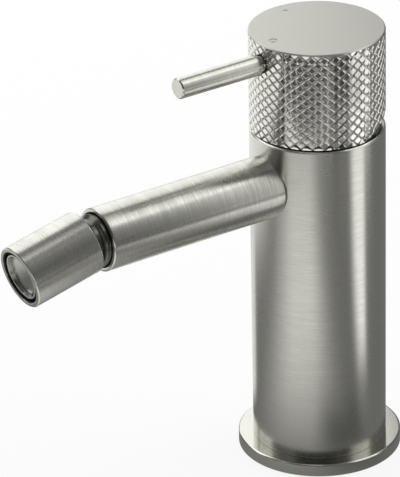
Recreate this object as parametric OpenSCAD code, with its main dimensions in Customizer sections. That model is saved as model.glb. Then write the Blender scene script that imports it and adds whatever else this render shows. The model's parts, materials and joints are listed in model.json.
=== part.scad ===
// Bidet mixer: a round body on a base flange, a level spout with a ball-jointed nozzle,
// and a knurled handle that turns for warmth and lifts for flow over a ceramic cartridge.
// The body's axis is Z, the counter is z = 0 and the spout points along -Y.

/* [Body] */
// Diameter of the body and of the handle
body_d = 45; // [44:0.5:47]
// Height from the counter to the top of the handle
total_h = 152; // [146:0.5:170]
// Wall of the hollow lower body
skirt_wall = 3.5; // [3.2:0.1:4.2]
// Thickness of the wall round the body's top rim
rim_wall = 1.5; // [1.3:0.1:1.8]
// Chamfer on the body's top rim
rim_chamfer = 0.5; // [0.2:0.1:0.8]
// Solid deck below the cartridge seat, which holds the waterways
deck_t = 24; // [22:0.5:28]

/* [Base flange] */
// Diameter of the flange
flange_d = 55; // [53:0.5:64]
// Thickness of the flange
flange_t = 4.3; // [3.8:0.1:6]
// Chamfer on the flange's upper edge
flange_chamfer = 0.4; // [0.2:0.1:0.8]
// Wall of the body's spigot inside the flange
spigot_wall = 1.5; // [1.2:0.1:1.7]
// Width of the seal below the flange
base_seal_w = 2.6; // [2:0.1:3]
// Height of the seal below the flange
base_seal_h = 1.8; // [1.2:0.1:2.2]

/* [Spout] */
// Outer diameter of the spout
spout_d = 21.2; // [20.4:0.1:22]
// Distance from the body's axis to the spout's mouth
spout_reach = 87.5; // [80:0.5:120]
// Depth of the spout's axis below the body's rim
spout_drop = 16.7; // [16:0.1:18]
// Wall of the spout tube
spout_wall = 1.3; // [1.1:0.1:1.5]
// Radius of the spigot that holds the spout in the body
spout_spigot_r = 7.5; // [7:0.1:8]

/* [Nozzle] */
// Outer diameter of the nozzle
nozzle_d = 21.3; // [21:0.1:22]
// Length of the nozzle ahead of the ball's centre
nozzle_front = 21.6; // [21:0.1:26]
// Length of the nozzle behind the ball's centre
nozzle_rear = 4.1; // [3.8:0.1:4.3]
// Distance from the spout's mouth to the ball's centre
ball_ahead = 8.5; // [8.3:0.1:10]
// Radius of the ball
ball_r = 8.9; // [8.6:0.05:8.9]
// Downward tilt of the nozzle at rest, which is its lower stop
nozzle_tilt = 12.5; // [8:0.5:12.5]
// Wall of the nozzle at its mouth
nozzle_wall = 1.5; // [1.4:0.05:1.6]

/* [Handle] */
// Height of the handle
handle_h = 33.7; // [33:0.1:36]
// Gap between the handle and the body's rim
handle_gap = 0.8; // [0.6:0.1:1.1]
// Height of the tilt pivot above the body's rim
pivot_rise = 9.2; // [9:0.1:9.8]
// Lift of the handle from closed to full flow, in degrees
lift_max = 20; // [14:1:20]
// Wall of the knurled sleeve
sleeve_wall = 2.1; // [1.9:0.1:2.3]
// Wall of the cap inside the sleeve
cap_wall = 1.8; // [1.5:0.1:2]
// Thickness of the handle's top
roof_t = 3; // [2.5:0.1:3.5]
// Visible edge of the top above the knurl
roof_edge = 0.5; // [0.4:0.1:0.9]

/* [Knurl] */
// Grooves in each direction round the handle
knurl_starts = 36; // [30:2:40]
// Half rows of diamonds from the bottom to the top of the sleeve
knurl_rows = 20; // [18:2:22]
// Depth of the grooves
knurl_depth = 0.5; // [0.3:0.05:0.6]
// Share of each diamond that is flat on top
knurl_flat = 0.68; // [0.5:0.02:0.8]

/* [Lever] */
// Diameter of the lever
lever_d = 7; // [6.5:0.1:7.4]
// Distance from the body's axis to the lever's tip
lever_reach = 55.1; // [48:0.5:70]
// Depth of the lever's axis below the top of the handle
lever_drop = 6.9; // [6.8:0.1:7.2]
// Length of the narrow neck at the lever's root
lever_neck = 0.8; // [0.5:0.1:1.2]

/* [Cartridge] */
// Diameter of the cartridge
cartridge_d = 25; // [24.6:0.1:25.4]
// Distance from the tilt pivot to the ball on the stem's foot
stem_arm = 12.2; // [11.8:0.1:12.4]
// Side of the stem's square
stem_w = 7; // [6.6:0.1:7.2]
// Thickness of the fixed ceramic disc
fixed_disc_t = 3; // [2.5:0.1:3.4]
// Thickness of the moving ceramic disc
moving_disc_t = 2.5; // [2.2:0.1:3]
// Thickness of the cartridge's base plate
plate_t = 2.5; // [2.3:0.1:3]
// Distance of the water ports from the cartridge's axis
port_offset = 5; // [4.9:0.05:5.1]
// Height of the retaining nut
nut_h = 5; // [4:0.1:5.4]

/* [Inlets] */
// Radius of the threaded inlet holes for the hoses
inlet_r = 4.5; // [4.2:0.1:4.7]
// Distance of each inlet hole from the body's axis
inlet_offset = 7.2; // [6.8:0.1:8]
// Depth of the inlet holes
inlet_depth = 12; // [9:0.5:13]
// Radius of the threaded hole for the fixing stud
stud_r = 3.4; // [2.8:0.1:3.6]
// Distance of the stud hole behind the body's axis
stud_offset = 11; // [10.5:0.1:13]
// Depth of the stud hole
stud_depth = 10; // [8:0.5:13]

/* [Clearances] */
// Radial play of a part that turns in a bore
running_fit = 0.08; // [0.05:0.01:0.1]
// Radial play of a part that is pushed or screwed into a bore
slide_fit = 0.05; // [0.03:0.01:0.08]
// Space round the handle's back as it dips into the body
sweep_gap = 0.3; // [0.25:0.05:0.5]

/* [Hidden] */
$fn = 96;
eps = 0.01;
// Overlap of joined solids, and how far a cut runs past its face
over = 1;

// Finishes
brushed = "#9c9b90";
satin = "#b9b8ae";
polished = "#c8c8c4";
brass = "#b59a56";
ceramic = "#e9e6de";
acetal = "#e4e2d8";
black_rubber = "#1c1c1c";
grey_plastic = "#6f706a";

// Levels of the body and handle
body_r = body_d / 2;
rim_r = body_r - rim_wall;
rim_z = total_h - handle_h - handle_gap;
handle_z = total_h - handle_h;
pivot_z = rim_z + pivot_rise;
spout_z = rim_z - spout_drop;
lever_z = total_h - lever_drop;

// Sphere about the pivot that the back of the handle is turned to
sweep_r = sqrt(rim_r * rim_r + pivot_rise * pivot_rise) - sweep_gap;
handle_below = pivot_z - handle_z;
sweep_foot_r = sqrt(sweep_r * sweep_r - handle_below * handle_below);
sweep_low_z = pivot_z - sweep_foot_r * sin(lift_max) - handle_below * cos(lift_max);
well_z = sweep_low_z - 2 * sweep_gap;

// Levels of the cartridge, from the stem's foot down to its seat in the body
foot_r = 1.9;
foot_play = 0.15;
neck_r = 1.4;
carrier_rise = 1.7;
carrier_floor = 0.5;
foot_z = pivot_z - stem_arm;
carrier_top_z = foot_z + carrier_rise;
pocket_floor_z = foot_z - foot_r - foot_play;
carrier_z = pocket_floor_z - carrier_floor;
moving_disc_z = carrier_z - moving_disc_t;
fixed_disc_z = moving_disc_z - fixed_disc_t;
seat_z = fixed_disc_z - plate_t;
deck_z = seat_z - deck_t;
disc_travel = stem_arm * sin(lift_max);
disc_rest_y = disc_travel / 2;

// Widths of the cartridge
cartridge_play = 0.2;
cartridge_r = cartridge_d / 2;
cartridge_bore_r = cartridge_r + cartridge_play;
housing_wall = 1.4;
housing_in_r = cartridge_r - housing_wall;
disc_r = housing_in_r - cartridge_play;
moving_disc_r = housing_in_r - disc_travel / 2 - sweep_gap / 2;
carrier_inset = 0.4;
carrier_r = moving_disc_r - carrier_inset;
turret_r = 9.2;
turret_flange_r = housing_in_r - running_fit;
turret_flange_t = 1.5;
turret_z = carrier_top_z + cartridge_play;
turret_step_z = turret_z + turret_flange_t;
turret_rise = 3.5;
turret_top_z = pivot_z + turret_rise;
neck_in_r = turret_r + running_fit;
neck_wall = 1.2;
neck_out_r = neck_in_r + neck_wall;
shoulder_t = 1.5;
shoulder_z = turret_step_z + shoulder_t;
turret_proud = 1;
neck_top_z = turret_top_z - turret_proud;
nut_top_z = shoulder_z + nut_h;
nut_play = 0.15;
nut_in_r = neck_out_r + nut_play;
collar_wall = 1.3;
collar_r = cartridge_bore_r + collar_wall;
slot_w = stem_w + 2 * running_fit;
slot_room_front = 2;
slot_room_back = 1.8;
slot_front = disc_travel + neck_r + slot_room_front;
slot_back = stem_w / 2 + slot_room_back;
pin_r = 1.5;
pin_inset = 0.5;
pin_len = 2 * (turret_r - pin_inset);
blade_foot = 4;
blade_gap = 2;
seal_cord = 1.2;
turret_seal_z = (shoulder_z + nut_top_z) / 2;

// Waterways
port_r = 1.6;
outlet_r = 2.2;
duct_r = 2.6;
duct_inset = 1;
duct_z = spout_z - spout_spigot_r + duct_r + duct_inset;
gasket_t = 1;
gasket_margin = 2.5;
gasket_r = cartridge_r - gasket_margin;
gasket_hole_r = 1.8;
groove_depth = 1;
side_land = 0.8;
front_land = 0.9;
chamber_w = 2 * (port_offset - port_r - side_land);
chamber_front = port_offset - port_r - front_land;
chamber_back = 3;
chamber_h = 1.2;

// Skirt and flange
skirt_r = body_r - skirt_wall;
spigot_r = skirt_r + spigot_wall;
flange_r = flange_d / 2;
flange_bore_r = spigot_r + slide_fit;
base_seal_r = (flange_bore_r + flange_r + base_seal_w) / 2;

// Spout
spout_r = spout_d / 2;
mouth_r = spout_r - spout_wall;
thread_wall = 1.1;
thread_r = mouth_r - thread_wall;
collar_len = 5;
stem_thread_len = 9;
spout_plug_y = 32;
spout_bore_r = 5;
socket_wall = 0.6;
socket_y = collar_r + socket_wall;
spout_seal_cord = 1.4;
spout_seal_y = (socket_y + rim_r) / 2;
edge_chamfer = 0.35;

// Ball joint
ball_y = -spout_reach - ball_ahead;
mouth_gap = 0.4;
stem_collar_r = mouth_r - mouth_gap;
stem_collar_len = 1.4;
ball_neck_step = 1.25;
ball_neck_r = ball_r - ball_neck_step;
ball_flat = 1.6;
stem_bore_r = 4.2;
ball_groove_depth = 1.75;
ball_groove_r = ball_r - ball_groove_depth;
ball_groove_w = 2;
ball_seal_cord = 1.7;
ball_seal_proud = 0.03;
ball_seal_r = ball_r + ball_seal_proud - ball_seal_cord / 2;

// Nozzle and aerator, measured along the nozzle's axis from the ball's centre
nozzle_r = nozzle_d / 2;
nozzle_bore_r = nozzle_r - nozzle_wall;
socket_r = ball_r + running_fit;
lip_s = 2.2;
lip_r = sqrt(socket_r * socket_r - lip_s * lip_s);
flare_edge = 1;
flare_r = nozzle_r - flare_edge;
seat_s = 3.6;
seat_len = 4.2;
seat_bore_r = 6;
aerator_seal_s = seat_s + seat_len;
aerator_seal_t = 1.2;
housing_s = aerator_seal_s + aerator_seal_t;
insert_r = nozzle_bore_r - slide_fit;
mouth_ring_inset = 2.85;
mouth_ring_r = nozzle_r - mouth_ring_inset;
mouth_ring_wall = 0.6;
ring_recess = 0.6;
ring_depth = 5;
ring_s = nozzle_front - ring_depth;
ring_t = 3;
lug_w = 1.6;
lug_h = 1;
screen_depth = 3.8;
screen_s = nozzle_front - screen_depth;
screen_t = 0.8;
screen_hole_r = 0.4;
screen_pitch = 1.35;
screen_rings = 4;

// Handle
sleeve_in_r = body_r - sleeve_wall;
cap_r = sleeve_in_r - slide_fit;
cap_in_r = cap_r - cap_wall;
cap_lift = 3;
cap_z = handle_z + cap_lift;
sleeve_top_z = total_h - roof_edge;
roof_z = total_h - roof_t;
insert_hub_r = 8;
insert_rise = 10;
insert_z = pivot_z + insert_rise;
boss_r = lever_drop - roof_t - slide_fit;
thread_lever_r = 2.5;
lever_r = lever_d / 2;
lever_neck_r = 2.75;
sleeve_hole_gap = 0.5;
sleeve_hole_r = lever_neck_r + sleeve_hole_gap;
stem_top_gap = 1.2;
stem_top_z = roof_z - stem_top_gap;
stem_socket_w = stem_w + 2 * slide_fit;
lever_chamfer = 0.35;
lever_thread_inset = 1.5;
lever_thread_y = insert_hub_r - lever_thread_inset;
lever_thread_gap = 0.5;
grub_r = 2.5;
grub_hex_r = 1.45;
grub_drop = 1.5;
grub_z = lever_z - grub_drop;
grub_recess = 0.5;
grub_len = insert_hub_r - stem_w / 2 - grub_recess;
plug_r = 3;
plug_inset = 0.3;
plug_t = sleeve_wall + cap_wall - 2 * plug_inset;
mark_r = 1.5;
mark_inner_r = 0.9;
mark_depth = 0.3;
mark_offset = 17.4;
roof_chamfer_share = 0.7;

// A ring of square section, standing on z
module ring(outer_r, inner_r, z, h) {
    translate([0, 0, z])
        difference() {
            cylinder(r = outer_r, h = h);
            translate([0, 0, -eps]) cylinder(r = inner_r, h = h + 2 * eps);
        }
}

// An O-ring of round section about Z
module o_ring(mid_r, cord, z) {
    translate([0, 0, z])
        rotate_extrude() translate([mid_r, 0]) circle(d = cord, $fn = 48);
}

// A cylinder with its upper edge chamfered
module chamfered(r, h, chamfer) {
    rotate_extrude()
        polygon([[0, 0], [r, 0], [r, h - chamfer], [r - chamfer, h], [0, h]]);
}

// Places children so that their Z runs out along the spout from the body's axis
module along_spout(y = 0) {
    translate([0, -y, spout_z]) rotate([90, 0, 0]) children();
}

// Places children so that their Z runs along the nozzle from the ball's centre
module along_nozzle() {
    translate([0, ball_y, spout_z]) rotate([90 + nozzle_tilt, 0, 0]) children();
}

// Places children so that their Z runs out along the lever from the body's axis
module along_lever(y = 0, z = lever_z) {
    translate([0, -y, z]) rotate([90, 0, 0]) children();
}

// Body with its skirt, waterways, cartridge bore and the well below the handle
module body() {
    color(brushed)
    difference() {
        union() {
            translate([0, 0, flange_t])
                chamfered(body_r, rim_z - flange_t, rim_chamfer);
            cylinder(r = spigot_r, h = flange_t + over);
        }
        translate([0, 0, -eps]) cylinder(r = skirt_r, h = deck_z + eps);
        translate([0, 0, well_z]) cylinder(r = rim_r, h = rim_z);
        translate([0, 0, seat_z]) cylinder(r = cartridge_bore_r, h = total_h);
        for (side = [-1, 1]) {
            translate([side * inlet_offset, 0, deck_z - eps])
                cylinder(r = inlet_r, h = inlet_depth + eps);
            translate([side * port_offset, 0, deck_z])
                cylinder(r = gasket_hole_r, h = deck_t + eps);
        }
        translate([0, stud_offset, deck_z - eps]) cylinder(r = stud_r, h = stud_depth + eps);
        translate([0, 0, duct_z]) cylinder(r = outlet_r, h = seat_z - duct_z + eps);
        translate([0, 0, duct_z]) rotate([90, 0, 0]) cylinder(r = duct_r, h = socket_y + eps);
        along_spout(socket_y) cylinder(r = spout_spigot_r, h = body_r);
    }
    color(brushed) collar();
}

// Collar that stands in the well and holds the retaining nut
module collar() {
    ring(collar_r, cartridge_bore_r, well_z - over, nut_top_z - well_z + over);
}

// Flange that hides the hole in the ceramic
module base_flange() {
    color(brushed)
    difference() {
        chamfered(flange_r, flange_t, flange_chamfer);
        translate([0, 0, -eps]) cylinder(r = flange_bore_r, h = flange_t + 2 * eps);
        ring(base_seal_r + slide_fit, base_seal_r - base_seal_w - slide_fit, -eps, base_seal_h + eps);
    }
}

// Seal in the groove below the flange
module base_seal() {
    color(black_rubber) ring(base_seal_r, base_seal_r - base_seal_w, 0, base_seal_h);
}

// Spout with a saddle end against the body and a threaded mouth
module spout_tube() {
    color(brushed)
    difference() {
        union() {
            difference() {
                along_spout() chamfered(spout_r, spout_reach, edge_chamfer);
                cylinder(r = body_r, h = total_h);
            }
            along_spout(socket_y) cylinder(r = spout_spigot_r - slide_fit, h = body_r);
        }
        along_spout(socket_y - over) cylinder(r = spout_bore_r, h = spout_reach);
        along_spout(spout_plug_y)
            cylinder(r = mouth_r, h = spout_reach - spout_plug_y - collar_len - stem_thread_len);
        along_spout(spout_plug_y) cylinder(r = thread_r, h = spout_reach);
        along_spout(spout_reach - collar_len) cylinder(r = mouth_r, h = collar_len + over);
        along_spout(spout_seal_y) spout_seal_groove();
    }
}

// Groove for the seal round the spout's spigot
module spout_seal_groove() {
    groove_r = spout_spigot_r - spout_seal_cord - 2 * slide_fit;
    ring(spout_spigot_r + over, groove_r, -spout_seal_cord / 2 - slide_fit, spout_seal_cord + 2 * slide_fit);
}

// Seal round the spout's spigot
module spout_seal() {
    color(black_rubber)
    along_spout(spout_seal_y)
        o_ring(spout_spigot_r - slide_fit - spout_seal_cord / 2, spout_seal_cord, 0);
}

// Hollow stem that screws into the spout's mouth and ends in the nozzle's ball
module ball_stem() {
    neck_s = ball_ahead - sqrt(ball_r * ball_r - ball_neck_r * ball_neck_r);
    cone = stem_collar_r - ball_neck_r;
    color(polished)
    difference() {
        union() {
            along_spout(spout_reach)
                rotate_extrude()
                    polygon([
                        [0, -collar_len - stem_thread_len],
                        [thread_r - slide_fit, -collar_len - stem_thread_len],
                        [thread_r - slide_fit, -collar_len + seal_cord],
                        [stem_collar_r, -collar_len + seal_cord],
                        [stem_collar_r, stem_collar_len],
                        [ball_neck_r, stem_collar_len + cone],
                        [ball_neck_r, neck_s + over],
                        [0, neck_s + over]
                    ]);
            translate([0, ball_y, spout_z]) sphere(r = ball_r);
        }
        along_spout(spout_reach - collar_len - stem_thread_len - over)
            cylinder(r = stem_bore_r, h = spout_reach);
        along_spout(-ball_y)
            ring(ball_r + over, ball_groove_r, -ball_groove_w / 2, ball_groove_w);
        along_spout(-ball_y + ball_r - ball_flat) cylinder(r = ball_r, h = ball_r);
    }
}

// Washer that seals the stem's collar in the mouth
module stem_seal() {
    color(black_rubber)
    along_spout(spout_reach - collar_len)
        ring(mouth_r - slide_fit, thread_r, 0, seal_cord);
}

// Gasket with three holes between the cartridge and the body
module cartridge_gasket() {
    color(black_rubber)
    difference() {
        translate([0, 0, seat_z]) cylinder(r = gasket_r, h = gasket_t);
        for (x = [-port_offset, 0, port_offset])
            translate([x, 0, seat_z - eps])
                cylinder(r = x == 0 ? outlet_r : gasket_hole_r, h = gasket_t + 2 * eps);
    }
}

// Base plate, with the groove that leads the cold water round to the front port
module cartridge_base() {
    color(acetal)
    difference() {
        translate([0, 0, seat_z]) cylinder(r = cartridge_r, h = plate_t);
        translate([0, 0, seat_z - eps]) cylinder(r = gasket_r + slide_fit, h = gasket_t + eps);
        for (x = [-port_offset, port_offset])
            translate([x, 0, seat_z]) cylinder(r = port_r, h = plate_t + eps);
        translate([0, 0, seat_z]) cylinder(r = outlet_r, h = plate_t + eps);
        translate([0, 0, fixed_disc_z - groove_depth])
            rotate([0, 0, -90])
                rotate_extrude(angle = 90)
                    translate([port_offset - port_r, 0]) square([2 * port_r, groove_depth + eps]);
    }
}

// Fixed ceramic disc with the hot, cold and mixed ports
module fixed_disc() {
    color(ceramic)
    difference() {
        translate([0, 0, fixed_disc_z]) cylinder(r = disc_r, h = fixed_disc_t);
        for (port = [[-port_offset, 0, port_r], [0, -port_offset, port_r], [0, 0, outlet_r]])
            translate([port[0], port[1], fixed_disc_z - eps])
                cylinder(r = port[2], h = fixed_disc_t + 2 * eps);
    }
}

// Housing that holds the discs and the turret
module cartridge_housing() {
    color(acetal)
    difference() {
        rotate_extrude()
            polygon([
                [housing_in_r, fixed_disc_z],
                [cartridge_r, fixed_disc_z],
                [cartridge_r, shoulder_z],
                [neck_out_r, shoulder_z],
                [neck_out_r, neck_top_z],
                [neck_in_r, neck_top_z],
                [neck_in_r, turret_step_z + running_fit],
                [housing_in_r, turret_step_z + running_fit]
            ]);
    }
}

// Slotted nut that holds the cartridge down
module retaining_nut() {
    slots = 6;
    slot = 2.4;
    color(brass)
    difference() {
        ring(cartridge_bore_r - slide_fit, nut_in_r, shoulder_z, nut_h);
        for (i = [0 : slots - 1])
            rotate([0, 0, i * 360 / slots])
                translate([nut_in_r - over, -slot / 2, nut_top_z - slot])
                    cube([cartridge_r, slot, slot + over]);
    }
}

// Turret that turns in the housing and carries the stem's pivot
module turret() {
    color(acetal)
    difference() {
        union() {
            translate([0, 0, turret_z]) cylinder(r = turret_flange_r, h = turret_flange_t);
            translate([0, 0, turret_z]) cylinder(r = turret_r, h = turret_top_z - turret_z);
        }
        translate([-slot_w / 2, -slot_front, turret_z - over])
            cube([slot_w, slot_front + slot_back, turret_top_z - turret_z + 2 * over]);
        translate([-turret_r, 0, pivot_z]) rotate([0, 90, 0]) cylinder(r = pin_r, h = 2 * turret_r);
        ring(turret_r + over, turret_r - seal_cord, turret_seal_z - seal_cord / 2, seal_cord);
    }
}

// Seal in the turret's groove
module turret_seal() {
    color(black_rubber)
    o_ring(turret_r + running_fit / 2 - seal_cord / 2, seal_cord - slide_fit, turret_seal_z);
}

// Pin on which the stem rocks
module pivot_pin() {
    color(polished)
    translate([-pin_len / 2, 0, pivot_z]) rotate([0, 90, 0]) cylinder(r = pin_r, h = pin_len);
}

// Moving ceramic disc with its mixing chamber
module moving_disc() {
    color(ceramic)
    translate([0, disc_rest_y, moving_disc_z])
        difference() {
            cylinder(r = moving_disc_r, h = moving_disc_t);
            translate([-chamber_w / 2, -chamber_front - disc_rest_y, -eps])
                cube([chamber_w, chamber_front + disc_rest_y + chamber_back, chamber_h + eps]);
        }
}

// Carrier that takes the stem's foot and drags the moving disc
module disc_carrier() {
    color(acetal)
    difference() {
        translate([0, disc_rest_y, carrier_z])
            cylinder(r = carrier_r, h = carrier_top_z - carrier_z);
        translate([0, 0, pocket_floor_z])
            cylinder(r = foot_r + foot_play, h = carrier_top_z - pocket_floor_z + eps);
    }
}

// Stem with its square, its pivot hole and its ball foot
module cartridge_stem() {
    color(brass)
    difference() {
        union() {
            translate([-stem_w / 2, -stem_w / 2, pivot_z - blade_foot])
                cube([stem_w, stem_w, stem_top_z - pivot_z + blade_foot]);
            translate([0, 0, foot_z]) cylinder(r = neck_r, h = stem_arm - blade_foot + over);
            translate([0, 0, turret_z + blade_gap])
                cylinder(r = 2 * neck_r, h = pivot_z - turret_z - blade_gap);
            translate([0, 0, foot_z]) sphere(r = foot_r);
        }
        translate([-stem_w, 0, pivot_z])
            rotate([0, 90, 0]) cylinder(r = pin_r + running_fit, h = 2 * stem_w);
    }
}

// Insert that grips the stem and takes the lever's thread
module handle_insert() {
    color(brass)
    difference() {
        union() {
            translate([0, 0, insert_z]) cylinder(r = insert_hub_r, h = roof_z - insert_z);
            intersection() {
                along_lever() cylinder(r = boss_r, h = body_r);
                cylinder(r = cap_in_r - slide_fit, h = total_h);
            }
        }
        translate([-stem_socket_w / 2, -stem_socket_w / 2, insert_z - eps])
            cube([stem_socket_w, stem_socket_w, stem_top_z + slide_fit - insert_z]);
        along_lever(lever_thread_y) cylinder(r = thread_lever_r, h = body_r);
        translate([0, 0, grub_z]) rotate([-90, 0, 0]) cylinder(r = grub_r, h = body_r);
    }
}

// Cap inside the knurled sleeve, with the top and its two marks
module handle_cap() {
    color(satin)
    difference() {
        union() {
            translate([0, 0, cap_z]) cylinder(r = cap_r, h = total_h - roof_edge - cap_z);
            translate([0, 0, sleeve_top_z])
                chamfered(body_r, roof_edge, roof_edge * roof_chamfer_share);
        }
        translate([0, 0, cap_z - eps]) cylinder(r = cap_in_r, h = roof_z - cap_z + eps);
        along_lever() cylinder(r = thread_lever_r, h = body_r);
        translate([0, 0, grub_z]) rotate([-90, 0, 0]) cylinder(r = plug_r, h = body_r);
        translate([0, -mark_offset, total_h - mark_depth])
            ring(mark_r, mark_inner_r, 0, over);
        translate([-mark_offset, 0, total_h - mark_depth]) cylinder(r = mark_inner_r, h = over);
    }
}

// Knurl lattice: grooves cross where column + row is even, diamonds are centred where it is odd
knurl_columns = 2 * knurl_starts;
knurl_step = 360 / knurl_columns;
half_cell = (sleeve_top_z - handle_z) / knurl_rows;
knurl_root_r = body_r - knurl_depth;
sleeve_bore_r = sleeve_in_r / cos(knurl_step / 2);

function polar(r, column, row) =
    [r * cos(column * knurl_step), r * sin(column * knurl_step), handle_z + row * half_cell];

// Rows of one diamond, cut off at the sleeve's ends
function diamond_low(row) = max(row - 1, 0);
function diamond_high(row) = min(row + 1, knurl_rows);
function flat_low(row) = max(row - knurl_flat, 0);
function flat_high(row) = min(row + knurl_flat, knurl_rows);

// Sleeve as one closed mesh: the diamonds, the bore and the two end faces
module knurl_mesh() {
    cells = [for (row = [0 : knurl_rows]) for (c = [0 : knurl_starts - 1]) [2 * c + (row + 1) % 2, row]];
    corners = [
        for (cell = cells) let (c = cell[0], row = cell[1])
            each [
                polar(knurl_root_r, c - 1, row), polar(knurl_root_r, c + 1, row),
                polar(row == 0 ? body_r : knurl_root_r, c, diamond_low(row)),
                polar(row == knurl_rows ? body_r : knurl_root_r, c, diamond_high(row)),
                polar(body_r, c - knurl_flat, row), polar(body_r, c + knurl_flat, row),
                polar(body_r, c, flat_low(row)), polar(body_r, c, flat_high(row))
            ]
    ];
    bore = [for (row = [0, knurl_rows]) for (c = [0 : knurl_columns - 1]) polar(sleeve_bore_r, c, row)];
    bore_at = len(corners);
    diamond_faces = [
        for (i = [0 : len(cells) - 1]) let (b = 8 * i, row = cells[i][1])
            each concat(
                row == 0 ? [] :
                    [[b + 4, b + 5, b + 6], [b, b + 4, b + 6, b + 2], [b + 1, b + 2, b + 6, b + 5]],
                row == knurl_rows ? [] :
                    [[b + 5, b + 4, b + 7], [b + 1, b + 5, b + 7, b + 3], [b, b + 3, b + 7, b + 4]]
            )
    ];
    end_faces = [
        for (i = [0 : len(cells) - 1])
            let (b = 8 * i, c = cells[i][0], row = cells[i][1], n = knurl_columns)
            let (level = bore_at + (row == 0 ? 0 : n))
            let (left = level + (c - 1 + n) % n, mid = level + c % n, right = level + (c + 1) % n)
                if (row == 0) [b, b + 4, b + 5, b + 1, right, mid, left]
                else if (row == knurl_rows) [left, mid, right, b + 1, b + 5, b + 4, b]
    ];
    bore_faces = [
        for (c = [0 : knurl_columns - 1]) let (d = (c + 1) % knurl_columns, top = bore_at + knurl_columns)
            [bore_at + c, bore_at + d, top + d, top + c]
    ];
    polyhedron(concat(corners, bore), concat(diamond_faces, end_faces, bore_faces));
}

// What has to go so that the handle's back clears the body's rim up to full lift
module sweep_relief() {
    translate([0, 0, pivot_z])
        difference() {
            rotate([lift_max, 0, 0])
                translate([-body_d, -body_d, sweep_gap - pivot_rise - body_d])
                    cube([2 * body_d, 2 * body_d, body_d]);
            sphere(r = sweep_r);
        }
}

// Knurled sleeve, relieved at the back so that the handle can dip into the body.
// It keeps its size: the resize makes the diamonds and the cuts one faceted shape.
module knurled_sleeve() {
    color(brushed)
    resize([0, 0, 0])
    difference() {
        knurl_mesh();
        along_lever() cylinder(r = sleeve_hole_r, h = body_d);
        translate([0, 0, grub_z]) rotate([-90, 0, 0]) cylinder(r = plug_r, h = body_d);
        sweep_relief();
    }
}

// Lever with a narrow neck and a threaded end
module lever_pin() {
    shoulder_y = body_r + lever_neck;
    color(brushed)
    along_lever() {
        translate([0, 0, shoulder_y]) chamfered(lever_r, lever_reach - shoulder_y, lever_chamfer);
        translate([0, 0, cap_r]) cylinder(r = lever_neck_r, h = shoulder_y - cap_r + eps);
        translate([0, 0, lever_thread_y + lever_thread_gap])
            cylinder(r = thread_lever_r - slide_fit, h = cap_r - lever_thread_y);
    }
}

// Grub screw that clamps the stem
module grub_screw() {
    color(polished)
    translate([0, stem_w / 2, grub_z]) rotate([-90, 0, 0])
        difference() {
            cylinder(r = grub_r - slide_fit, h = grub_len);
            translate([0, 0, grub_len / 2]) cylinder(r = grub_hex_r, h = grub_len, $fn = 6);
        }
}

// Plug over the grub screw's hole
module grub_plug() {
    color(grey_plastic)
    translate([0, cap_in_r + plug_inset, grub_z])
        rotate([-90, 0, 0]) cylinder(r = plug_r - slide_fit, h = plug_t);
}

// Seal on the ball, which swivels with the nozzle
module ball_seal() {
    color(black_rubber) along_spout(-ball_y) o_ring(ball_seal_r, ball_seal_cord, 0);
}

// Nozzle's outer shell with the spherical lip that keeps it on the ball
module nozzle_shell() {
    color(brushed)
    along_nozzle()
        difference() {
            rotate_extrude()
                polygon([
                    [0, -nozzle_rear],
                    [nozzle_r - edge_chamfer, -nozzle_rear],
                    [nozzle_r, -nozzle_rear + edge_chamfer],
                    [nozzle_r, nozzle_front - edge_chamfer],
                    [nozzle_r - edge_chamfer, nozzle_front],
                    [0, nozzle_front]
                ]);
            sphere(r = socket_r);
            cylinder(r = nozzle_bore_r, h = nozzle_front + over);
            translate([0, 0, -nozzle_rear - eps])
                cylinder(r1 = flare_r, r2 = lip_r, h = nozzle_rear - lip_s + 2 * eps);
        }
}

// Seat that presses the ball back against the lip
module ball_seat() {
    color(acetal)
    along_nozzle()
        difference() {
            ring(nozzle_bore_r - slide_fit, seat_bore_r, seat_s, seat_len);
            sphere(r = ball_r + running_fit);
        }
}

// Washer between the seat and the aerator
module aerator_seal() {
    color(black_rubber)
    along_nozzle() ring(insert_r, seat_bore_r, aerator_seal_s, aerator_seal_t);
}

// Aerator's housing, which screws into the nozzle and shows its rim at the mouth
module aerator_housing() {
    color(polished)
    along_nozzle()
        difference() {
            union() {
                translate([0, 0, housing_s]) cylinder(r = insert_r, h = ring_s - housing_s);
                translate([0, 0, housing_s])
                    cylinder(r = mouth_ring_r, h = nozzle_front - ring_recess - housing_s);
            }
            translate([0, 0, housing_s - eps]) cylinder(r = seat_bore_r, h = nozzle_front);
            translate([0, 0, screen_s])
                cylinder(r = mouth_ring_r - mouth_ring_wall, h = nozzle_front);
        }
}

// Black key ring round the aerator, with two lugs
module aerator_ring() {
    color(black_rubber)
    along_nozzle() {
        ring(insert_r, mouth_ring_r + slide_fit, ring_s, ring_t);
        intersection() {
            ring(insert_r, mouth_ring_r + slide_fit, ring_s, ring_t + lug_h);
            translate([-lug_w / 2, -nozzle_r, ring_s]) cube([lug_w, nozzle_d, ring_t + lug_h]);
        }
    }
}

// Screen at the bottom of the mouth
module aerator_screen() {
    color(satin)
    along_nozzle()
        translate([0, 0, screen_s])
            difference() {
                cylinder(r = mouth_ring_r - mouth_ring_wall - slide_fit, h = screen_t);
                for (ring_no = [1 : screen_rings])
                    for (i = [0 : 6 * ring_no - 1])
                        rotate([0, 0, i * 60 / ring_no])
                            translate([ring_no * screen_pitch, 0, -eps])
                                cylinder(r = screen_hole_r, h = screen_t + 2 * eps, $fn = 24);
            }
}

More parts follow.
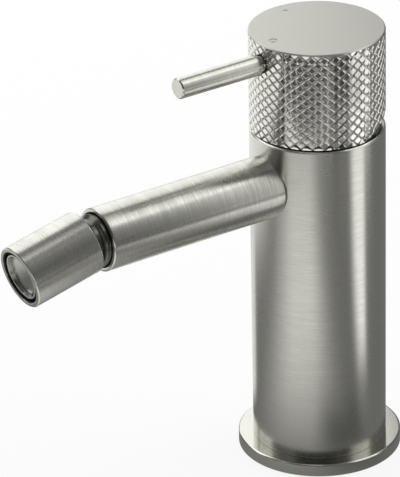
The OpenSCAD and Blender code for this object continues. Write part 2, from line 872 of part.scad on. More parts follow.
body();
base_flange();
base_seal();
spout_tube();
spout_seal();
ball_stem();
stem_seal();
cartridge_gasket();
cartridge_base();
fixed_disc();
cartridge_housing();
retaining_nut();
turret();
turret_seal();
pivot_pin();
moving_disc();
disc_carrier();
cartridge_stem();
handle_insert();
handle_cap();
knurled_sleeve();
lever_pin();
grub_screw();
grub_plug();
ball_seal();
nozzle_shell();
ball_seat();
aerator_seal();
aerator_housing();
aerator_ring();
aerator_screen();
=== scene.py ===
"""Bidet mixer in brushed nickel: turned shells, knurled handle and ball-jointed nozzle on the CAD frame."""
import json
import math

import bmesh
import bpy
from mathutils import Euler, Matrix, Vector

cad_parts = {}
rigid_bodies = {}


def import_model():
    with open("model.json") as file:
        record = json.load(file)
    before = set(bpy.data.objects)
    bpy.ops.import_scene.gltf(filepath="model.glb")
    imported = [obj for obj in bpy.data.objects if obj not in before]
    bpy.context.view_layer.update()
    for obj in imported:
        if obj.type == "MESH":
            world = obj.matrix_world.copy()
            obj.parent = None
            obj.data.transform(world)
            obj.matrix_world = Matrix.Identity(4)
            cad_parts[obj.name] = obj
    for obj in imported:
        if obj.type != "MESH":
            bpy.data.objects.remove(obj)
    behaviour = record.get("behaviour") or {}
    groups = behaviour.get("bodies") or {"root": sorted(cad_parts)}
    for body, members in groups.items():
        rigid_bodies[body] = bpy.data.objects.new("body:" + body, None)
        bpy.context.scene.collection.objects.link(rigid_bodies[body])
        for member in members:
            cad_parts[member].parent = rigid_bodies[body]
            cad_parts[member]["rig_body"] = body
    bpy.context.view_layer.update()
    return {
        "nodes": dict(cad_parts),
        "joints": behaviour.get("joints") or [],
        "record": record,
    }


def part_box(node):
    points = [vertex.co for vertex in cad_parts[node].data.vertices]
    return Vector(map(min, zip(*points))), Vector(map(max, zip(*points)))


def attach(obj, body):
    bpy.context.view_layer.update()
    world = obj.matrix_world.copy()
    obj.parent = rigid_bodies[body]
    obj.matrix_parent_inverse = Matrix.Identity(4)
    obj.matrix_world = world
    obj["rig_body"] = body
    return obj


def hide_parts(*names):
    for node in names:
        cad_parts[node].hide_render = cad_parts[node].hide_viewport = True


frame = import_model()

bl_info = {
    "name": "Bidet Mixer",
    "version": (1, 0, 0),
    "blender": (4, 5, 0),
    "location": "3D View > Sidebar > Mixer",
    "description": "Dresses the mixer's CAD frame with turned, knurled and brushed pieces",
    "category": "Object",
}

MM = 0.001
LOW, HIGH = 0, 1
TURN = 2 * math.pi
BOX = {name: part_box(name) for name in frame["nodes"]}
JOINT = {joint["name"]: joint for joint in frame["joints"]}
BALL = Vector(JOINT["nozzle_tilt"]["pos_m"])
LEVEL = (math.pi / 2, 0, 0)  # Lays a turned piece along the spout
SAME = 0.001 * MM  # Points closer than this are one
PLAY = 0.05 * MM  # Between two pieces that fit together
SOCKET = 7.5 * MM  # Radius of the body's socket for the spout
SPIGOT = 7.45 * MM  # Radius of the spout's end in that socket
CAP_LEDGE = 2.15 * MM  # Width of the cap's ledge over the knurled sleeve
PHOTO = (400, 477)  # Width and height of the photo in pixels
AIM_PIXEL = (318.199, 240.671)  # Where the camera's aim point falls in it
SENSOR_MM = 36


def nozzle_lean():
    """Lays a turned piece along the nozzle at rest, from the ball to the screen's centre."""
    low, high = BOX["aerator_screen"]
    ahead = (low + high) / 2 - BALL
    return (math.pi / 2 + math.atan2(-ahead.z, -ahead.y), 0, 0)


def length(label, text, default):
    """A length that the user may change, in metres."""
    return bpy.props.FloatProperty(name=label, description=text, default=default, unit="LENGTH", precision=5)


def colour(label, text, default):
    """An sRGB hex colour that the user may change."""
    return bpy.props.StringProperty(name=label, description=text, default=default, maxlen=7)


class MixerSizes(bpy.types.PropertyGroup):
    """Sizes of the dressed pieces that the CAD boxes do not give."""

    handle_gap: length("Handle gap", "Shadow gap between the handle and the body's rim", 0.8 * MM)
    rim_wall: length("Rim wall", "Wall round the body's top rim", 1.5 * MM)
    rim_chamfer: length("Rim chamfer", "Chamfer on the body's top rim", 0.5 * MM)
    skirt_wall: length("Skirt wall", "Wall of the hollow lower body", 3.5 * MM)
    spigot_wall: length("Spigot wall", "Wall of the body's spigot inside the flange", 1.5 * MM)
    flange_chamfer: length("Flange chamfer", "Chamfer on the flange's upper edge", 0.4 * MM)
    root_round: length("Root round", "Length of the rounding at the lever's root", 2 * MM)
    tube_chamfer: length("Tube chamfer", "Chamfer on the ends of the spout, nozzle and lever", 0.35 * MM)
    spout_wall: length("Spout wall", "Wall of the spout at its mouth", 1.3 * MM)
    nozzle_wall: length("Nozzle wall", "Wall of the nozzle at its mouth", 1.5 * MM)
    ball_radius: length("Ball radius", "Radius of the nozzle's ball", 8.9 * MM)
    edge_round: length("Edge round", "Softening of every turned edge", 0.1 * MM)
    knurl_depth: length("Knurl depth", "Depth of the knurl's grooves", 0.5 * MM)
    crest_round: length("Crest round", "Wear on the knurl's crests", 0.09 * MM)
    mark_depth: length("Mark depth", "Depth of the two marks in the handle's top", 0.12 * MM)


class MixerFinishes(bpy.types.PropertyGroup):
    """Colours of the mixer's materials."""

    nickel: colour("Nickel", "Brushed nickel plate", "#cecdc5")
    satin: colour("Satin nickel", "Finely turned nickel of the handle's top", "#bebdb6")
    chrome: colour("Chrome", "Polished chrome of the ball and the aerator", "#dcdcd8")
    burnished: colour("Burnished nickel", "Nickel plate pressed bright by the knurling rolls", "#e6e4dd")
    # The groove colour is painted shade at the bottom of the knurl's grooves, as well as tarnish.
    groove: colour("Groove", "Tarnish at the bottom of the knurl's grooves", "#363633")
    # The stem's colour is darkened as painted shade of the gap between the spout and the nozzle.
    chrome_with_painted_shade: colour("Dark chrome", "Polished dark chrome of the ball's stem", "#6a6a66")
    steel: colour("Steel", "Stainless wire of the aerator's screen", "#b9b8b0")
    brass: colour("Brass", "Bare turned brass", "#c9a961")
    ceramic: colour("Ceramic", "Lapped alumina of the valve discs", "#ece8de")
    acetal: colour("Acetal", "Moulded white acetal", "#e6e3d9")
    black: colour("Black plastic", "Moulded black key ring", "#161616")
    grey: colour("Grey plastic", "Moulded grey plug", "#7d7d76")
    rubber: colour("Rubber", "Black nitrile rubber of the seals", "#1b1b1c")


class MixerStudio(bpy.types.PropertyGroup):
    """Camera and light of the photograph."""

    azimuth: bpy.props.FloatProperty(
        name="Azimuth", description="Camera's turn round the body", default=math.radians(54.133), subtype="ANGLE"
    )
    elevation: bpy.props.FloatProperty(
        name="Elevation", description="Camera's height angle", default=math.radians(26.306), subtype="ANGLE"
    )
    roll: bpy.props.FloatProperty(
        name="Roll", description="Camera's roll", default=math.radians(0.414), subtype="ANGLE"
    )
    distance: length("Distance", "Camera's distance from the aim point", 1.43233)
    aim_height: length("Aim height", "Height of the aim point on the body's axis", 0.075)
    lens: bpy.props.FloatProperty(name="Lens", description="Focal length", default=324.3, unit="CAMERA")
    world_level: bpy.props.FloatProperty(
        name="Room level", description="Grey of the unlit room round the object", default=0.4, min=0
    )
    mirror_level: bpy.props.FloatProperty(
        name="Mirrored level", description="Grey of that room where the metal mirrors it", default=0.21, min=0
    )
    floor: colour("Floor", "Plain pale floor", "#f4f4f4")
    floor_glow: bpy.props.FloatProperty(
        name="Floor glow", description="Level of the floor's own light", default=1.06, min=0
    )
    glow_share: bpy.props.FloatProperty(
        name="Glow share", description="Share of that light in the floor as it is seen", default=0.8, min=0, max=1
    )


def linear(hex_colour):
    """Linear RGBA of an sRGB hex colour."""
    parts = [int(hex_colour[i : i + 2], 16) / 255 for i in (1, 3, 5)]
    return (*[c / 12.92 if c <= 0.04045 else ((c + 0.055) / 1.055) ** 2.4 for c in parts], 1.0)


def add_node(tree, kind, settings=None, values=None, links=None):
    """Adds a node, sets its properties and input values, and links its inputs to (node, output)."""
    node = tree.nodes.new(kind)
    for key, value in (settings or {}).items():
        setattr(node, key, value)
    for key, value in (values or {}).items():
        node.inputs[key].default_value = value
    for key, (source, output) in (links or {}).items():
        tree.links.new(source.outputs[output], node.inputs[key])
    return node


def new_material(name):
    """An empty node material."""
    material = bpy.data.materials.new(name)
    material.use_nodes = True
    material.node_tree.nodes.clear()
    return material


def grainy(tree, size_mm):
    """An even noise in Object coordinates, with grains of that size."""
    where = add_node(tree, "ShaderNodeTexCoord")
    return add_node(
        tree, "ShaderNodeTexNoise", values={"Scale": 1 / (size_mm * MM), "Detail": 3.0},
        links={"Vector": (where, "Object")},
    )


def spread(tree, source, low, high):
    """Maps the middle of a noise to a range."""
    return add_node(
        tree, "ShaderNodeMapRange", values={"From Min": 0.3, "From Max": 0.7, "To Min": low, "To Max": high},
        links={"Value": source},
    )


def toned(tree, shade, tone):
    """A colour times a tone."""
    return add_node(
        tree, "ShaderNodeMix", {"data_type": "RGBA", "blend_type": "MULTIPLY"}, {"Factor": 1.0, "A": shade},
        {"B": (tone, "Result")},
    )


def relief(tree, height, bump_mm):
    """Normals of a relief of that height in millimetres."""
    return add_node(
        tree, "ShaderNodeBump", values={"Strength": 1.0, "Distance": bump_mm * MM}, links={"Height": height}
    )


def surface(tree, values, links):
    """Ends a material's tree with one Principled surface."""
    shader = add_node(tree, "ShaderNodeBsdfPrincipled", values=values, links=links)
    add_node(tree, "ShaderNodeOutputMaterial", links={"Surface": (shader, "BSDF")})


def turned_metal(tree, shade, roughness, grain, stroke_mm, line_mm, contrast, bump_mm):
    """Metal with the fine lines that a belt or a tool leaves round a turned piece.

    The lines follow the piece's turning attribute: millimetres across the axis, then along the outline.
    """
    where = add_node(tree, "ShaderNodeAttribute", {"attribute_name": "turning"})

    def strokes(run, across, look):
        scaled = add_node(
            tree, "ShaderNodeMapping", values={"Scale": (run, run, across)}, links={"Vector": (where, "Vector")}
        )
        return add_node(
            tree, "ShaderNodeTexNoise", values={"Scale": 1.0, **look}, links={"Vector": (scaled, "Vector")}
        )

    run = 1 / stroke_mm
    lines = strokes(run, 1 / line_mm, {"Detail": 3.0, "Roughness": 0.65})
    bands = strokes(run / 2, 0.12 / line_mm, {"Detail": 2.0})
    both = add_node(
        tree, "ShaderNodeMix", {"data_type": "FLOAT"}, {"Factor": 0.3}, {"A": (lines, "Fac"), "B": (bands, "Fac")}
    )
    source = (both, "Result")
    tint = toned(tree, shade, spread(tree, source, 1 - contrast, 1 + contrast))
    rough = spread(tree, source, roughness * 1.15, roughness * 0.85)
    bump = relief(tree, source, bump_mm)
    round_it = add_node(tree, "ShaderNodeTangent", {"direction_type": "UV_MAP", "uv_map": "turning_map"})
    surface(
        tree, {"Metallic": 1.0, "Anisotropic": grain, "Anisotropic Rotation": 0.25},
        {
            "Base Color": (tint, "Result"), "Roughness": (rough, "Result"), "Normal": (bump, "Normal"),
            "Tangent": (round_it, "Tangent"),
        },
    )


def knurled_metal(tree, shade, roughness, dull, grain_mm, steepness, full):
    """Bright plate on a knurl, which darkens and dulls towards the bottom of its grooves; the darkening is painted
    shade there, with some tarnish.

    The piece's groove attribute runs from 0 on a crest to 1 at the bottom.
    """
    depth = add_node(tree, "ShaderNodeAttribute", {"attribute_name": "groove"})
    groove_shade_and_oxide = add_node(tree, "ShaderNodeMath", {"operation": "POWER"}, {1: steepness}, {0: (depth, "Fac")})
    amount = add_node(
        tree, "ShaderNodeMath", {"operation": "MULTIPLY"},
        links={0: (groove_shade_and_oxide, "Value"), 1: (grainy(tree, grain_mm), "Fac")},
    )
    strong = add_node(tree, "ShaderNodeMapRange", values={"From Max": full}, links={"Value": (amount, "Value")})
    # Painted shade: the grooves are coloured darker where shade falls in them, together with their tarnish.
    groove_oxide_and_shade_colour = linear(bpy.context.scene.mixer_finishes.groove)
    tint = add_node(
        tree, "ShaderNodeMix", {"data_type": "RGBA"}, {"A": shade, "B": groove_oxide_and_shade_colour}, {"Factor": (strong, "Result")}
    )
    rough = add_node(
        tree, "ShaderNodeMapRange", values={"To Min": roughness, "To Max": dull}, links={"Value": (strong, "Result")}
    )
    surface(tree, {"Metallic": 1.0}, {"Base Color": (tint, "Result"), "Roughness": (rough, "Result")})


def plain_finish(tree, shade, metallic, roughness, grain_mm, contrast, bump_mm):
    """A finish with an even fine grain."""
    source = (grainy(tree, grain_mm), "Fac")
    tint = toned(tree, shade, spread(tree, source, 1 - contrast, 1 + contrast))
    rough = spread(tree, source, roughness * 0.85, min(1, roughness * 1.15))
    bump = relief(tree, source, bump_mm)
    surface(
        tree, {"Metallic": metallic},
        {"Base Color": (tint, "Result"), "Roughness": (rough, "Result"), "Normal": (bump, "Normal")},
    )


def woven_wire(tree, shade, roughness, pitch_mm, contrast, bump_mm):
    """A screen of wires that cross, at a pitch along X and Z in Object coordinates."""
    where = add_node(tree, "ShaderNodeTexCoord")
    waves = [
        add_node(
            tree, "ShaderNodeTexWave", {"bands_direction": way, "wave_profile": "SIN"},
            {"Scale": TURN / (20 * pitch_mm * MM)}, {"Vector": (where, "Object")},
        )
        for way in "XZ"
    ]
    weave = add_node(
        tree, "ShaderNodeMath", {"operation": "MULTIPLY"}, links={0: (waves[0], "Fac"), 1: (waves[1], "Fac")}
    )
    tone = add_node(
        tree, "ShaderNodeMapRange", values={"To Min": 1 - contrast, "To Max": 1}, links={"Value": (weave, "Value")}
    )
    tint = toned(tree, shade, tone)
    bump = relief(tree, (weave, "Value"), bump_mm)
    surface(
        tree, {"Metallic": 1.0, "Roughness": roughness}, {"Base Color": (tint, "Result"), "Normal": (bump, "Normal")}
    )


# For each finish: its maker, the material's name, the colour's name and the maker's numbers.
FINISHES = {
    # Nickel plate brushed round each turned piece: a warm grey metal with soft streaks along its lines.
    # The real lines are about 0.1 mm apart, drawn three times as coarse so that they show.
    "brushed_nickel": (turned_metal, "nickel_plate_brushed", "nickel", dict(
        roughness=0.25, grain=0.5, stroke_mm=9, line_mm=0.3, contrast=0.06, bump_mm=0.0008)),
    # The same plate on the spout and the nozzle, brushed with a coarser belt: short strokes that catch the light.
    "coarse_nickel": (turned_metal, "nickel_plate_brushed_coarse", "nickel", dict(
        roughness=0.28, grain=0.5, stroke_mm=10, line_mm=0.42, contrast=0.2, bump_mm=0.0018)),
    # The same plate on the flange, turned and hardly brushed: a smoother face that mirrors the body.
    "turned_nickel": (turned_metal, "nickel_plate_turned", "nickel", dict(
        roughness=0.13, grain=0.3, stroke_mm=9, line_mm=0.3, contrast=0.03, bump_mm=0.0003)),
    # Nickel plate over a rolled knurl: the crests are smoother than the brushed tubes and shine,
    # and the grooves are painted dark, as the shade that falls in them and the tarnish that no cloth reaches.
    "knurl_nickel": (knurled_metal, "nickel_plate_knurled", "burnished", dict(
        roughness=0.09, dull=0.4, grain_mm=0.6, steepness=4.0, full=0.6)),
    # Nickel plate finely turned: an even satin face with hardly any lines.
    "satin_nickel": (plain_finish, "nickel_plate_satin", "satin", dict(
        metallic=1.0, roughness=0.36, grain_mm=0.25, contrast=0.02, bump_mm=0.0006)),
    # Chrome plate polished on turned brass: a dark and bright mirror with faint wiping marks.
    "polished_chrome": (plain_finish, "chrome_plate_polished", "chrome", dict(
        metallic=1.0, roughness=0.2, grain_mm=1.2, contrast=0.02, bump_mm=0.0003)),
    # Chrome plate polished on the ball's stem, darkened with painted shade of the gap between spout and nozzle: a
    # smoky mirror.
    "stem_chrome_painted_shade": (plain_finish, "chrome_plate_dark", "chrome_with_painted_shade", dict(
        metallic=1.0, roughness=0.24, grain_mm=1.2, contrast=0.02, bump_mm=0.0003)),
    # Stainless steel wire woven into a screen: a flat, even grey. The wires are 0.2 mm apart, drawn at 0.4 mm.
    "woven_steel": (woven_wire, "steel_wire_woven", "steel", dict(
        roughness=0.28, pitch_mm=0.4, contrast=0.2, bump_mm=0.006)),
    # Brass as turned, without plate: yellow and a little dull.
    "bare_brass": (plain_finish, "brass_turned_bare", "brass", dict(
        metallic=1.0, roughness=0.32, grain_mm=0.5, contrast=0.08, bump_mm=0.002)),
    # Alumina fired and lapped: milky white with a tight sheen.
    "valve_ceramic": (plain_finish, "alumina_lapped", "ceramic", dict(
        metallic=0.0, roughness=0.2, grain_mm=0.4, contrast=0.02, bump_mm=0.0005)),
    # Acetal moulded: waxy off-white.
    "white_acetal": (plain_finish, "acetal_moulded", "acetal", dict(
        metallic=0.0, roughness=0.42, grain_mm=0.6, contrast=0.03, bump_mm=0.003)),
    # Nylon moulded grey, with the fine texture of its mould.
    "grey_plastic": (plain_finish, "nylon_moulded_grey", "grey", dict(
        metallic=0.0, roughness=0.5, grain_mm=0.35, contrast=0.05, bump_mm=0.006)),
    # Acetal moulded black: a dull key ring with a soft shine.
    "black_plastic": (plain_finish, "acetal_moulded_black", "black", dict(
        metallic=0.0, roughness=0.38, grain_mm=0.35, contrast=0.06, bump_mm=0.005)),
    # Nitrile rubber moulded: nearly black and matt.
    "black_rubber": (plain_finish, "nitrile_rubber_moulded", "rubber", dict(
        metallic=0.0, roughness=0.7, grain_mm=0.3, contrast=0.08, bump_mm=0.008)),
}


def finish_named(finish):
    """The material of a finish, made when it is first asked for."""
    maker, name, shade, numbers = FINISHES[finish]
    if name not in bpy.data.materials:
        paint = bpy.context.scene.mixer_finishes
        maker(new_material(name).node_tree, linear(getattr(paint, shade)), **numbers)
    return bpy.data.materials[name]


def select_alone(piece):
    """Makes the piece active, and the only one selected."""
    bpy.ops.object.select_all(action="DESELECT")
    piece.select_set(True)
    bpy.context.view_layer.objects.active = piece


def start_edit(piece):
    """Selects one piece alone and opens it in edit mode."""
    select_alone(piece)
    bpy.ops.object.mode_set(mode="EDIT")


def pick(piece, kind, test):
    """In edit mode, selects just the verts, edges or faces that pass the test."""
    bpy.ops.mesh.select_mode(type={"verts": "VERT", "edges": "EDGE", "faces": "FACE"}[kind])
    bpy.ops.mesh.select_all(action="DESELECT")
    mesh = bmesh.from_edit_mesh(piece.data)
    for part in getattr(mesh, kind):
        if test(part):
            part.select_set(True)
    mesh.select_flush_mode()
    bmesh.update_edit_mesh(piece.data)


def turned(name, outline, rounded, steps):
    """Turns an outline of (radius, height) about Z into a closed piece with softened edges.

    The outline runs from axis to axis, or round to its own start.
    """
    bpy.ops.object.select_all(action="DESELECT")
    bpy.ops.mesh.primitive_plane_add(size=MM)
    piece = bpy.context.object
    piece.name = name
    piece.data.name = name
    bpy.ops.object.mode_set(mode="EDIT")
    bpy.ops.mesh.select_mode(type="VERT")
    bpy.ops.mesh.select_all(action="SELECT")
    bpy.ops.mesh.merge(type="CENTER")
    # Points close to each corner hold the long faces flat beside the softened edges.
    hold = 3 * rounded
    held = [Vector(outline[0])]
    for start, end in zip(map(Vector, outline), map(Vector, outline[1:])):
        way = end - start
        if way.length > 10 * rounded > 0:
            held += [start + way.normalized() * hold, end - way.normalized() * hold]
        held.append(end)
    here = Vector((held[0].x, 0, held[0].y))
    bpy.ops.transform.translate(value=here)
    for point in held[1:]:
        there = Vector((point.x, 0, point.y))
        bpy.ops.mesh.extrude_region_move(TRANSFORM_OT_translate={"value": there - here})
        here = there
    bpy.ops.mesh.select_all(action="SELECT")
    bpy.ops.mesh.remove_doubles(threshold=SAME)

    def corner(vert):
        if len(vert.link_edges) != 2:
            return False
        ways = [edge.other_vert(vert).co - vert.co for edge in vert.link_edges]
        bend = math.pi - ways[0].angle(ways[1])
        return bend > math.radians(25) and min(way.length for way in ways) > 2.2 * rounded

    if rounded > 0:
        pick(piece, "verts", corner)
        bpy.ops.mesh.bevel(affect="VERTICES", offset=rounded, segments=3, clamp_overlap=False)
    bpy.ops.mesh.select_mode(type="VERT")
    bpy.ops.mesh.select_all(action="SELECT")
    bpy.ops.mesh.spin(steps=steps, angle=TURN, center=(0, 0, 0), axis=(0, 0, 1))
    bpy.ops.mesh.select_all(action="SELECT")
    bpy.ops.mesh.remove_doubles(threshold=SAME)
    bpy.ops.mesh.normals_make_consistent(inside=False)
    bpy.ops.object.mode_set(mode="OBJECT")
    return piece


def place(piece, location, turn=(0, 0, 0)):
    """Puts the piece's place into its mesh, so that the object itself stays at the origin."""
    select_alone(piece)
    piece.rotation_euler = turn
    piece.location = location
    bpy.ops.object.transform_apply(location=True, rotation=True, scale=True)


def cut_away(piece, cutter):
    """Takes the cutter's shape out of the piece, and removes the cutter."""
    cut = piece.modifiers.new("cut", "BOOLEAN")
    cut.operation = "DIFFERENCE"
    cut.object = cutter
    cut.solver = "EXACT"
    select_alone(piece)
    bpy.ops.object.modifier_apply(modifier=cut.name)
    bpy.data.objects.remove(cutter)


def drill(piece, radius, start, way, depth):
    """Cuts a round hole of that depth from start along way."""
    way = Vector(way).normalized()
    bpy.ops.object.select_all(action="DESELECT")
    bpy.ops.mesh.primitive_cylinder_add(
        vertices=64, radius=radius, depth=depth, location=Vector(start) + way * depth / 2,
        rotation=way.to_track_quat("Z", "Y").to_euler(),
    )
    cut_away(piece, bpy.context.object)


def lay_turning(piece, location=(0, 0, 0), turn=(0, 0, 0)):
    """Gives the piece its turning lines about the axis that it was turned on.

    The attribute holds millimetres across the axis and along the outline, and the map runs round the axis.
    """
    back = (Matrix.Translation(location) @ Euler(turn).to_matrix().to_4x4()).inverted()
    mesh = piece.data
    local = [back @ vert.co for vert in mesh.vertices]
    lines = mesh.attributes.new("turning", "FLOAT_VECTOR", "POINT")
    for vert, point in zip(lines.data, local):
        along = point.z - math.hypot(point.x, point.y)
        vert.vector = (point.x / MM, point.y / MM, along / MM)
    layer = mesh.uv_layers.new(name="turning_map")
    for polygon in mesh.polygons:
        middle = back @ polygon.center
        first = math.atan2(middle.y, middle.x)
        for loop in polygon.loop_indices:
            point = local[mesh.loops[loop].vertex_index]
            angle = math.atan2(point.y, point.x) if math.hypot(point.x, point.y) > 0.01 * MM else first
            if angle - first > math.pi:
                angle -= TURN
            if first - angle > math.pi:
                angle += TURN
            layer.data[loop].uv = (angle / TURN, point.z - math.hypot(point.x, point.y))


def dress(piece, node, slot, smooth=30, finish=None):
    """Shades the piece, paints it, and lets it ride where the CAD node does."""
    select_alone(piece)
    bpy.ops.object.shade_smooth_by_angle(angle=math.radians(smooth))
    piece.data.materials.clear()
    piece.data.materials.append(finish_named(finish or slot))
    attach(piece, frame["nodes"][node]["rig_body"])
    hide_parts(node)


def arc(centre, radius, start, end, steps):
    """Points (radius, height) on a circle about (0, centre), from one angle above the plane to another."""
    angles = [start + (end - start) * i / steps for i in range(steps + 1)]
    return [(radius * math.cos(a), centre + radius * math.sin(a)) for a in angles]


class MIXER_OT_body(bpy.types.Operator):
    """Turns the body with its rim, well, collar and skirt, and drills its holes"""

    bl_idname = "mixer.body"
    bl_label = "Body"

    def execute(self, context):
        s = context.scene.mixer_sizes
        radius = BOX["body"][HIGH].x
        foot = BOX["base_flange"][HIGH].z
        rim = BOX["knurled_sleeve"][LOW].z - s.handle_gap
        rim_in = radius - s.rim_wall
        skirt = radius - s.skirt_wall
        seat = BOX["cartridge_base"][LOW].z
        mount = {m["name"]: m for m in frame["record"]["mounts"]}
        deck = mount["hot_inlet"]["pos_m"][2]
        collar_top = BOX["body"][HIGH].z
        bore = BOX["retaining_nut"][HIGH].x + PLAY
        collar = bore + 1.3 * MM
        well = rim - 6.5 * MM
        piece = turned(
            "body_turned",
            [
                (0, deck), (skirt, deck), (skirt, 0), (skirt + s.spigot_wall, 0), (skirt + s.spigot_wall, foot),
                (radius, foot), (radius, rim - s.rim_chamfer), (radius - s.rim_chamfer, rim), (rim_in, rim),
                (rim_in, well), (collar, well), (collar, collar_top), (bore, collar_top), (bore, seat), (0, seat),
            ],
            s.edge_round, steps=192,
        )
        for name in ("hot_inlet", "cold_inlet", "stud_hole"):
            size = mount[name]["dims"]
            start = Vector(mount[name]["pos_m"]) - Vector((0, 0, MM))
            drill(piece, size["r_mm"] * MM, start, (0, 0, 1), (size["length_mm"] + 1) * MM)
        drill(piece, SOCKET, (0, BOX["spout_tube"][HIGH].y, BALL.z), (0, -1, 0), radius)
        lay_turning(piece)
        dress(piece, "body", "brushed_nickel")
        return {"FINISHED"}


class MIXER_OT_flange(bpy.types.Operator):
    """Turns the base flange with its groove for the seal"""

    bl_idname = "mixer.flange"
    bl_label = "Base flange"

    def execute(self, context):
        s = context.scene.mixer_sizes
        radius = BOX["base_flange"][HIGH].x
        top = BOX["base_flange"][HIGH].z
        bore = BOX["body"][HIGH].x - s.skirt_wall + s.spigot_wall + PLAY
        seal = BOX["base_seal"][HIGH]
        outer = seal.x + PLAY
        inner = outer - 2.7 * MM
        piece = turned(
            "base_flange_turned",
            [
                (bore, 0), (inner, 0), (inner, seal.z), (outer, seal.z), (outer, 0), (radius, 0),
                (radius, top - s.flange_chamfer), (radius - s.flange_chamfer, top), (bore, top), (bore, 0),
            ],
            s.edge_round, steps=192,
        )
        lay_turning(piece)
        dress(piece, "base_flange", "brushed_nickel", finish="turned_nickel")
        return {"FINISHED"}


class MIXER_OT_spout(bpy.types.Operator):
    """Turns the spout tube and cuts its saddle to the body"""

    bl_idname = "mixer.spout"
    bl_label = "Spout"

    def execute(self, context):
        s = context.scene.mixer_sizes
        low, high = BOX["spout_tube"]
        radius, reach, root = high.x, -low.y, -high.y
        bore = 5 * MM
        stop = root + 6 * MM
        mouth = radius - s.spout_wall
        thread = mouth - 1.1 * MM
        seat = reach - 5 * MM
        thread_end = 32 * MM
        piece = turned(
            "spout_turned",
            [
                (bore, root), (SPIGOT, root), (SPIGOT, stop), (radius, stop), (radius, reach - s.tube_chamfer),
                (radius - s.tube_chamfer, reach), (mouth, reach), (mouth, seat), (thread, seat), (thread, thread_end),
                (bore, thread_end), (bore, root),
            ],
            s.edge_round, steps=160,
        )
        at = (0, 0, BALL.z)
        place(piece, at, LEVEL)
        bpy.ops.object.select_all(action="DESELECT")
        bpy.ops.mesh.primitive_cylinder_add(vertices=256, radius=BOX["body"][HIGH].x, depth=60 * MM, location=at)
        saddle = context.object
        inside, outside = 10 * MM, 40 * MM
        core = turned("saddle_core", [(0, inside), (SPIGOT, inside), (SPIGOT, outside), (0, outside)], 0, steps=160)
        place(core, at, LEVEL)
        cut_away(saddle, core)
        cut_away(piece, saddle)
        lay_turning(piece, at, LEVEL)
        dress(piece, "spout_tube", "brushed_nickel", finish="coarse_nickel")
        return {"FINISHED"}


class MIXER_OT_ball(bpy.types.Operator):
    """Turns the hollow stem with the ball that carries the nozzle"""

    bl_idname = "mixer.ball"
    bl_label = "Ball stem"

    def execute(self, context):
        s = context.scene.mixer_sizes
        ball = s.ball_radius
        reach = -BOX["spout_tube"][LOW].y
        middle = -BALL.y
        mouth = BOX["spout_tube"][HIGH].x - s.spout_wall
        bore = 4.2 * MM
        thread = mouth - 1.15 * MM
        collar = mouth - 0.4 * MM
        neck = ball - 1.25 * MM
        groove = ball - 1.75 * MM
        half = 1 * MM
        front = ball - 1.6 * MM
        lip = math.asin(half / ball)
        tail, stop, nose = reach - 14 * MM, reach - 3.8 * MM, reach + 1.4 * MM
        outline = [
            (bore, tail), (thread, tail), (thread, stop), (collar, stop), (collar, nose), (neck, nose + collar - neck),
        ]
        outline += arc(middle, ball, -math.acos(neck / ball), -lip, 16)
        outline += [(groove, middle - half), (groove, middle + half)]
        outline += arc(middle, ball, lip, math.asin(front / ball), 16)
        outline += [(bore, middle + front), (bore, tail)]
        piece = turned("ball_stem_turned", outline, 0.04 * MM, steps=128)
        place(piece, (0, 0, BALL.z), LEVEL)
        # The stem's darker chrome is painted shade of the gap between spout and nozzle.
        dress(piece, "ball_stem", "polished_chrome", smooth=20, finish="stem_chrome_painted_shade")
        return {"FINISHED"}


class MIXER_OT_nozzle(bpy.types.Operator):
    """Turns the nozzle's shell with its spherical socket"""

    bl_idname = "mixer.nozzle"
    bl_label = "Nozzle"

    def execute(self, context):
        s = context.scene.mixer_sizes
        radius = BOX["nozzle_shell"][HIGH].x
        bore = radius - s.nozzle_wall
        front = 21.6 * MM
        rear = -4.1 * MM
        socket = s.ball_radius + 0.08 * MM
        lip = -2.2 * MM
        flare = radius - 1 * MM
        chamfer = s.tube_chamfer
        outline = [
            (bore, 0), (bore, front), (radius - chamfer, front), (radius, front - chamfer),
            (radius, rear + chamfer), (radius - chamfer, rear), (flare, rear),
        ]
        outline += arc(0, socket, math.asin(lip / socket), 0, 8)
        outline += [(bore, 0)]
        piece = turned("nozzle_turned", outline, s.edge_round, steps=160)
        place(piece, BALL, nozzle_lean())
        lay_turning(piece, BALL, nozzle_lean())
        dress(piece, "nozzle_shell", "brushed_nickel", finish="coarse_nickel")
        return {"FINISHED"}


